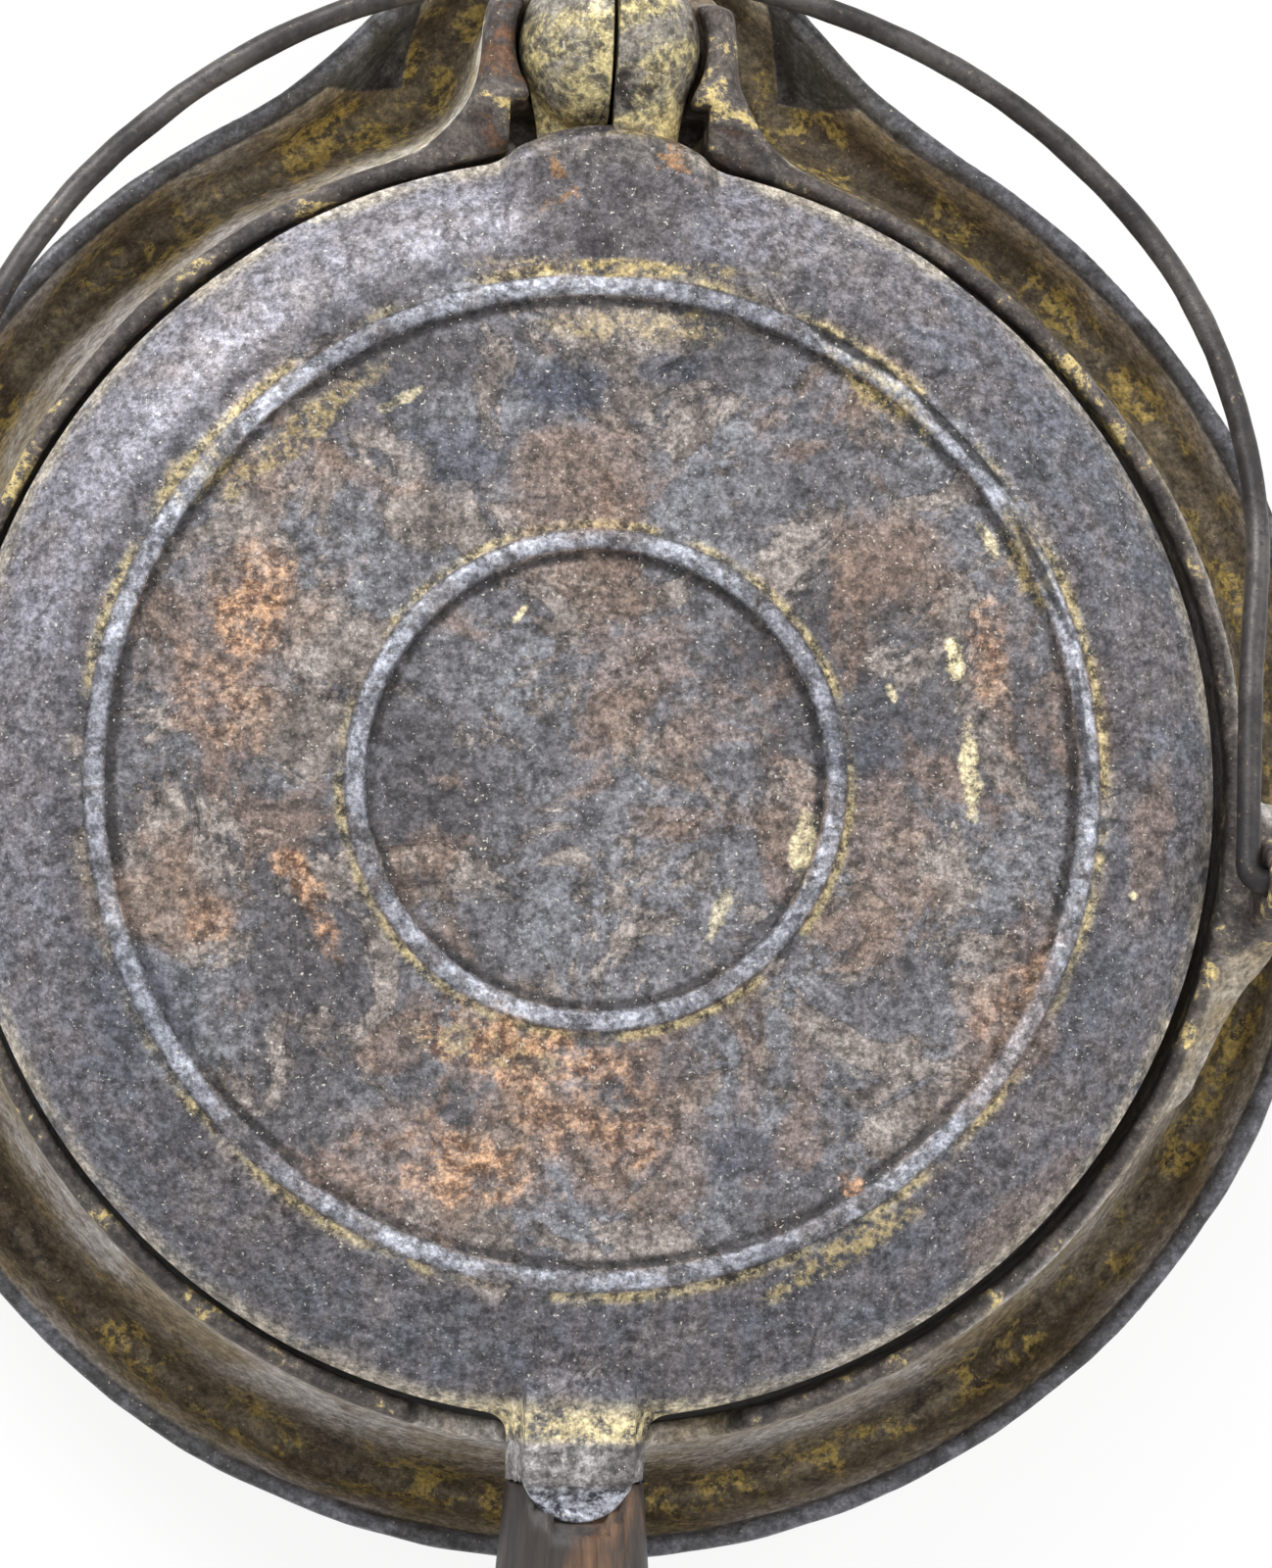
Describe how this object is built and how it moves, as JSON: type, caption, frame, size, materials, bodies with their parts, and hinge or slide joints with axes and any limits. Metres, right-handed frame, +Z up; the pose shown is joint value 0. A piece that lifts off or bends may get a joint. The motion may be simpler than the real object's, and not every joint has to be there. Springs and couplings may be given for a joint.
{
  "type": "stovetop waffle iron",
  "caption": "Cast-iron stovetop waffle iron: a low ring base with a drip gutter and wire bail, and two hinged round waffle plates with wooden grips.",
  "frame": {"origin": "middle of the whole object's footprint, on the surface that it stands on", "axes": "+Z up, +X to the right, the handles point along -Y and the ball hinge lies towards +Y"},
  "size_m": [0.24, 0.384, 0.0645],
  "materials": {
    "cast_iron": "worn and seasoned, with rust and ochre crust",
    "iron_wire": "dull dark drawn wire",
    "painted_wood": "worn black paint on turned wood",
    "steel_fasteners": "dull, lightly rusted"
  },
  "bodies": {
    "ring_base": {"base": "cast_iron"},
    "carrying_bail": {"bail": "iron_wire"},
    "lower_half": {"bottom_paddle": "cast_iron", "hinge_pin": "steel_fasteners", "bottom_grip": "painted_wood", "bottom_grip_screws": "steel_fasteners"},
    "upper_half": {"top_paddle": "cast_iron", "top_grip": "painted_wood", "top_grip_screws": "steel_fasteners"}
  },
  "joints": [
    {"name": "bail_swing", "type": "hinge", "parent": "ring_base", "child": "carrying_bail", "pos_m": [0, 0.0355, 0.059], "axis": [1, 0, 0], "range_deg": [0, 191]},
    {"name": "pair_lift", "type": "hinge", "parent": "ring_base", "child": "lower_half", "pos_m": [0, 0.1606, 0.048], "axis": [-1, 0, 0], "range_deg": [0, 35]},
    {"name": "lid_open", "type": "hinge", "parent": "lower_half", "child": "upper_half", "pos_m": [0, 0.1606, 0.048], "axis": [-1, 0, 0], "range_deg": [0, 110]}
  ]
}
